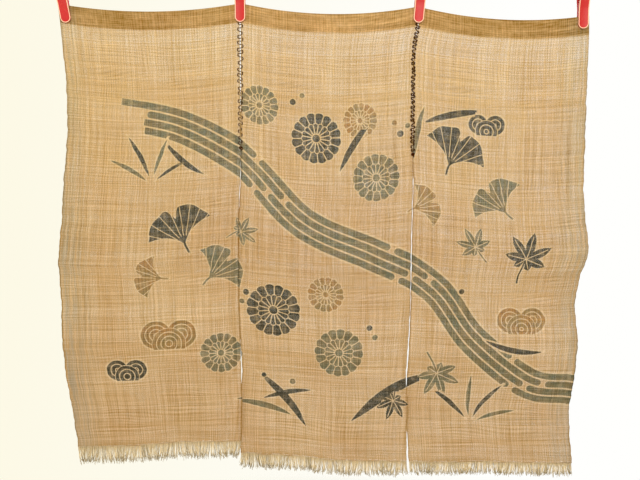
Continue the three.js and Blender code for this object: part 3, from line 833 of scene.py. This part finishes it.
def fringe_tree(material):
    """Warp ends below the last weft: they lean together into clumps and curl at their tips."""
    tree, m, given = start_geometry("Fringe", {
        "Threads": 680, "Thread Length": 0.03, "Thread Radius": 0.00036, "Thread Pitch": 0.00051,
        "Clump Threads": 8.0, "Curl": 0.0015, "Seed": 1})
    feet = m("CurveToPoints", m("MeshToCurve", given["Mesh"]), given["Threads"])
    feet = m("StoreNamedAttribute", feet, None, "strand", m("InputIndex"))
    # A thread is made one metre long, and its own fall takes that metre's place below
    thread = m("ResampleCurve", m("CurvePrimitiveLine", (0, 0, 0), (0, 0, -1)), None, 10)
    threads = m("RealizeInstances", m("InstanceOnPoints", feet, None, thread))
    strand = m("InputNamedAttribute.FLOAT", "strand").outputs["Attribute"]
    t = m("SplineParameter").outputs["Factor"]

    # Clumps of uneven size, and the ways in which each clump or strand differs, with their ranges
    drift = m("*", m("sin", m("*", strand, 0.9)), 0.3)
    share = m("+", m("/", strand, given["Clump Threads"]), drift)
    clump = m("Math.FLOOR", share)
    own = {}
    for shift, (key, number, least, most) in enumerate((
            ("gather", clump, 0.0, 0.4), ("lean", clump, -0.0022, 0.0022),
            ("stray", strand, -0.0016, 0.0016), ("phase", strand, 0.0, 6.28),
            ("stand", clump, -0.0025, 0.002), ("part", strand, -0.001, 0.001),
            ("length", clump, 1.0, 1.1), ("end", strand, 0.86, 1.06), ("hook", strand, 0.0, 0.22))):
        own[key] = m("RandomValue.FLOAT", least, most, number, m("+", given["Seed"], shift))

    middle = m("*", m("-", m("+", clump, 0.5), share), given["Clump Threads"])
    pull = m("*", middle, given["Thread Pitch"])
    gather = m("*", m("Math.POWER", t, 2.2), own["gather"])
    # Neighbouring clumps lean alike: the lean swings over from side to side along the edge
    swing = m("sin", m("*+", strand, 0.041, m("*", given["Seed"], 2.1)))
    lean = m("*", m("Math.POWER", t, 1.5), m("*+", swing, 0.0052, own["lean"]))
    phase = m("*+", t, 6.0, own["phase"])
    curl = m("*", m("*", t, t), given["Curl"])
    x = m("*+", pull, gather, m("+", lean, m("*", t, own["stray"])))
    x = m("*+", m("sin", phase), curl, x)
    y = m("*+", m("cos", phase), curl, m("*", t, m("+", own["stand"], own["part"])))
    length = m("*", m("*", own["length"], own["end"]), given["Thread Length"])
    hook = m("*", m("Math.POWER", t, 5.0), own["hook"])
    z = m("*+", m("-", hook, t), length, t)
    placed = m("SetPosition", threads, None, None, m("CombineXYZ", x, y, z))
    placed = m("StoreNamedAttribute", placed, None, "along", t)
    placed = m("SetCurveRadius", placed, None, m("*+", t, -0.15, 1.0))
    section = m("CurvePrimitiveCircle", 5, sockets={"Radius": given["Thread Radius"]})
    tubes = m("CurveToMesh", placed, section, sockets={"Fill Caps": True})
    return finish_geometry(tree, m, tubes, material)


def twisted_tree(material):
    """Two plies twisted round each other along a line."""
    tree, m, given = start_geometry("Twisted Thread", {
        "Ply Radius": 0.0003, "Twist Length": 0.003, "Step": 0.0006})
    line = m("ResampleCurve", m("MeshToCurve", given["Mesh"]), mode="LENGTH",
             sockets={"Length": given["Step"]})
    turns = m("/", m("SplineParameter").outputs["Length"], given["Twist Length"])
    line = m("SetCurveTilt", line, None, m("*", turns, math.tau))
    section = m("CurvePrimitiveCircle", 6, sockets={"Radius": given["Ply Radius"]})
    plies = [m("Transform", section, sockets={"Translation": m("CombineXYZ", off)})
             for off in (given["Ply Radius"], m("*", given["Ply Radius"], -1.0))]
    tubes = m("CurveToMesh", line, m("JoinGeometry", plies), sockets={"Fill Caps": True})
    return finish_geometry(tree, m, tubes, material)


def seam_point(first, side, reach, drop, out):
    """A point beside the seam right of a panel. side: 0 left, 1 right. reach: from the edge."""
    panel = PANELS[first + side]
    return skin_at(panel, abs(1 - side - reach / panel["flat"][0]), drop, 0.0, out)


def lacing_line(lacing):
    """Lacing of a seam: up through one edge, along on top of it, down through it and across."""
    first, half = lacing["first"], lacing["stitch"] / 2
    draw = np.random.default_rng(3 + first)
    points = []
    for number, drop in enumerate(np.arange(lacing["start"], lacing["end"], half)):
        bite = lacing["bite"] * draw.uniform(0.65, 1.3)
        drop += half * draw.uniform(-0.4, 0.4)
        out = draw.uniform(1.0, 1.6)
        for reach, ahead, height in LACING_TURNS:
            height = out if height is None else height
            points.append(seam_point(first, number % 2, bite * reach, drop + ahead * half, height))
    return smooth_line(points, 5)


def knot_line(lacing):
    """The small tight knot that ends a lacing: two turns of thread and its loose end."""
    size, turns, out = 2.6, 2.2, 1.6
    middle = sum(seam_point(lacing["first"], side, 0, lacing["end"], out) for side in (0, 1)) / 2
    t = np.linspace(0, 1, 90)
    turn = t * turns * math.tau
    ring = size * (1 - 0.3 * t)
    points = middle + np.stack([ring * np.cos(turn), -0.2 * size * np.sin(turn * 1.5),
                                0.8 * ring * np.sin(turn)], axis=1)
    end = points[-1] + np.outer(np.linspace(0, 1, 12)[1:], (1.5, 0.2, -7.0))
    return np.concatenate([points, end])


def hem_line(panel):
    """Running stitch through both layers of the header, just above the edge of the hem."""
    stitch, margin, proud = 7.0, 4, 0.45
    width = panel["flat"][0]
    along = np.arange(margin, width - margin, stitch / 6)
    line = skin_at(panel, along / width, HEADER - HEM_SEWN, 0.0, CLOTH_THICK / 2 + proud)
    behind = HEM_GAP + SHEET_THICK + CLOTH_THICK + 2 * proud
    line[:, 1] += np.where(np.sin(math.tau * along / stitch) > 0, 0, behind)
    line[:, 2] += 0.5 * np.sin(along * 0.31) + 0.3 * np.sin(along * 0.83)
    return line


# Clips

def jaw_outline(inset):
    """Front view of a jaw as (x, z), from its lower end up the right side and down the left."""
    half, top = JAW["width"] / 2 - inset, JAW["length"] - JAW["top_round"]
    low, high = JAW["tip_round"] - inset, JAW["top_round"] - inset
    right = [(half - low + low * math.cos(angle), JAW["tip_round"] + low * math.sin(angle))
             for angle in np.radians(np.linspace(-90, 0, 10))]
    right += [(half, z) for z in np.linspace(JAW["tip_round"], top, 24)[1:-1]]
    right += [(half - high + high * math.cos(angle), top + high * math.sin(angle))
              for angle in np.radians(np.linspace(0, 90, 8))]
    return right + [(-x, z) for x, z in reversed(right)]


def jaw_rise(z):
    """How far a jaw stands off the cloth at a height: flat along it, then splayed."""
    over, softness = z - JAW["grip"], 3.0
    return math.tan(math.radians(JAW["splay"])) * (math.hypot(over, softness) + over) / 2


def jaw_mesh(name, loops, rim):
    """A lofted lever. loops: (inset, depth from its inner side). rim: the bands of its rim."""
    points = [(x, -JAW_OFF - jaw_rise(z) - depth, z)
              for inset, depth in loops for x, z in jaw_outline(inset)]
    count = len(points) // len(loops)
    last = len(points) - count
    faces, finish = [], []
    for a in range(0, last, count):
        for i in range(count):
            j = (i + 1) % count
            faces.append((a + i, a + j, a + count + j, a + count + i))
            finish.append(int(a // count in rim))
    for i in range(count // 2 - 1):
        mirror = count - 1 - i
        faces.append((last + i, last + i + 1, last + mirror - 1, last + mirror))
        faces.append((mirror, mirror - 1, i + 1, i))
        finish += [0, 0]
    mesh = mesh_of(name, points, faces)
    mesh.polygons.foreach_set("material_index", finish)
    return mesh


def cheek_mesh(name, x):
    """A plate on a jaw's inner side that holds the spring's coil, with a rounded end."""
    thick, reach, half, sunk = 1.0, 3.6, 6, 0.6
    middle = SPRING["above"]
    low, high = [(-JAW_OFF - jaw_rise(z) - sunk, z) for z in (middle - half, middle + half)]
    outline = [low, *[(reach * math.cos(angle) * 0.75, middle + reach * math.sin(angle))
                      for angle in np.radians(np.linspace(-90, 90, 13))], high]
    count = len(outline)
    points = [(x + side * thick / 2, y, z) for side in (-1, 1) for y, z in outline]
    faces = [(i, (i + 1) % count, count + (i + 1) % count, count + i) for i in range(count)]
    faces += [tuple(range(count))[::-1], tuple(range(count, 2 * count))]
    return mesh_of(name, points, faces)


def join_meshes(name, meshes, move):
    """One mesh of several, moved, with outward faces."""
    shell = bmesh.new()
    for mesh in meshes:
        shell.from_mesh(mesh)
    bmesh.ops.recalc_face_normals(shell, faces=shell.faces)
    shell.transform(move)
    joined = meshes[0].copy()
    shell.to_mesh(joined)
    shell.free()
    joined.name = name
    joined.polygons.foreach_set("use_smooth", [True] * len(joined.polygons))
    joined.set_sharp_from_angle(angle=math.radians(38))
    return joined


def spring_points():
    """The coil on its axis along X, with a leg up each jaw's inner side and a bent toe."""
    wire, above, toe = SPRING["wire"], SPRING["above"], SPRING["toe"]
    ring, half = SPRING["radius"] - wire, SPRING["width"] / 2 - wire
    t = np.linspace(0, 1, int(SPRING["turns"] * 20) + 1)
    turn = math.pi + t * SPRING["turns"] * math.tau
    coil = np.stack([-half + 2 * half * t, ring * np.cos(turn), above - ring * np.sin(turn)], axis=1)
    top = above + SPRING["leg"]
    rest = JAW_OFF + jaw_rise(top) - wire - 0.2
    first = [(-half + toe, -rest, top), (-half + 1, -rest, top), (-half, -rest, top - 1)]
    last = [(half, rest, top - 1), (half - 1, rest, top), (half - toe, rest, top)]
    return np.concatenate([first, coil, last])


def wire_mesh(name, points_mm, radius_mm):
    """A closed round wire along points."""
    curve = bpy.data.curves.new(name, "CURVE")
    curve.dimensions = "3D"
    spline = curve.splines.new("POLY")
    spline.points.add(len(points_mm) - 1)
    for point, place in zip(spline.points, np.asarray(points_mm) * MM):
        point.co = (*place, 1)
    curve.bevel_depth = radius_mm * MM
    curve.bevel_resolution = 2
    curve.use_fill_caps = True
    carrier = bpy.data.objects.new(name, curve)
    mesh = bpy.data.meshes.new_from_object(carrier)
    bpy.data.objects.remove(carrier)
    return mesh


def add_clip(clip, red, peach, steel):
    """A clip's three pieces, each in the place of its node."""
    place = Matrix.Translation(Vector((clip["x"], FOLD, clip["tip"])) * MM)
    place = place @ Matrix.Rotation(math.radians(-clip["lean"]), 4, "Y")
    half_turn = Matrix.Rotation(math.pi, 4, "Z")
    # The jaws' sections as (inset, depth) from the inner side out; the front one has a raised rim
    edge = [(1.0, 0.0), (0.3, 0.15), (0.0, 0.6), (0.0, 2.3)]
    front = edge + [(0.15, 2.75), (0.5, 3.0), (1.35, 3.0), (1.65, 2.85), (1.8, 2.4), (2.1, 2.3)]
    back = edge + [(0.25, 2.8), (0.9, 3.0)]
    pieces = []
    for side, loops, rim, turn, cheek in (("front_jaw", front, range(4, 8), Matrix(), 7.4),
                                          ("back_jaw", back, (), half_turn, 8.7)):
        name = f"{clip['name']}_{side}"
        meshes = [jaw_mesh(name, loops, rim), cheek_mesh(name, cheek), cheek_mesh(name, -cheek)]
        lever = join_meshes(name, meshes, place @ turn)
        pieces.append((keep(name + "_lever", lever, red, peach), name, "clip_plastic"))
    name = clip["name"] + "_spring"
    coil = join_meshes(name, [wire_mesh(name, spring_points(), SPRING["wire"])], place)
    pieces.append((keep(name + "_wire", coil, steel), name, "spring_steel"))
    for piece, node, slot in pieces:
        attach(piece, "root")
        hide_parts(node)


# The object

hemp = hemp_cloth()
ends = fringe_tree(loose_hemp())
sewing = twisted_tree(twisted_thread("hemp_sewing_thread", "#9C7440", "#C29A60"))
lacing = twisted_tree(twisted_thread("dark_lacing_thread", "#220D00", "#562A00"))
red = moulded_plastic("moulded_red_plastic", "#BC1D17", "#D4513E")
peach = moulded_plastic("moulded_peach_plastic", "#F4C8A2", "#E9A986")
steel = drawn_steel()

for row in LACINGS:
    for name, line in ((row["name"], lacing_line(row)), (row["name"] + "_knot", knot_line(row))):
        piece = grow(name, line_mesh(name, line), lacing, **{
            "Ply Radius": row["ply"] * MM, "Twist Length": 0.0056, "Step": 0.0009})
        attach(piece, "root")

for number, panel in enumerate(PANELS):
    name = panel["name"]
    cloth = cloth_sheet(panel, hemp)
    hem = grow(name + "_hem_stitches", line_mesh(name, hem_line(panel)), sewing, **{
        "Ply Radius": 0.00022, "Twist Length": 0.002, "Step": 0.001})
    feet = skin_at(panel, np.linspace(0.002, 0.998, 60), panel["weave"] - FRINGE_FOOT)
    fringe = grow(name + "_fringe", line_mesh(name, feet), ends, **{
        "Thread Length": (panel["fringe"] + FRINGE_MORE) * MM, "Seed": number + 1})
    for piece in (cloth, hem, fringe):
        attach(piece, "root")
    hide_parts(name)
for clip in CLIPS:
    add_clip(clip, red, peach, steel)


# The studio

def add_floor():
    size, height = 0.8, -1.3
    mesh = mesh_of("studio_floor", [(-1, -1, 0), (1, -1, 0), (1, 1, 0), (-1, 1, 0)], [(0, 1, 2, 3)])
    mesh.transform(Matrix.Scale(size / MM, 4))
    floor = keep("studio_floor", mesh, studio_floor())
    floor.location.z = height


def add_light(name, place, aim, size, power, colour):
    lamp = bpy.data.lights.new(name, "AREA")
    lamp.shape = "DISK"
    lamp.size = size
    lamp.energy = power
    lamp.color = linear(colour)[:3]
    light = bpy.data.objects.new(name, lamp)
    light.location = place
    light.rotation_euler = (Vector(aim) - Vector(place)).to_track_quat("-Z", "Y").to_euler()
    bpy.context.scene.collection.objects.link(light)


def add_world():
    """Pale surroundings: bright to the camera, softer as a light."""
    world = bpy.data.worlds.new("studio")
    world.use_nodes = True
    world.node_tree.nodes.clear()
    m = partial(add, world.node_tree)
    way = m("SeparateXYZ", m("TexCoord").outputs["Generated"]).outputs[0]
    pale = m("Mix.RGBA", m("MapRange", way, -0.45, 0.3, 0.0, 1.0), linear("#FDF9E6"), linear("#FFFFFD"))
    seen = m("Background", pale, 1.0)
    around = m("Background", linear("#FFFAF2"), 0.65)
    m("OutputWorld", m("MixShader", m("LightPath").outputs["Is Camera Ray"], around, seen))
    bpy.context.scene.world = world


def add_camera():
    """The photograph's view: level with the middle of the cloth and tipped down a little."""
    camera_data = bpy.data.cameras.new("camera")
    camera_data.sensor_width = 36.0
    camera_data.lens = 33.75
    camera = bpy.data.objects.new("camera", camera_data)
    camera.location = Vector((-6.648, -1194.475, -342.797)) * MM
    camera.rotation_euler = (math.radians(90 - 5.5), 0, 0)
    bpy.context.scene.collection.objects.link(camera)
    bpy.context.scene.camera = camera


add_floor()
middle = (0, 0, -0.45)
add_light("key", (0.45, -2.25, 0.8), middle, 1.6, 45, "#FFFDF8")
add_light("fill", (-1.8, -1.6, -0.1), middle, 1.4, 12, "#FFF8EC")
add_light("back", (0.4, 2.2, 0.8), middle, 1.6, 34, "#FFFFFF")
add_world()
add_camera()
bpy.context.scene.view_settings.view_transform = "Standard"
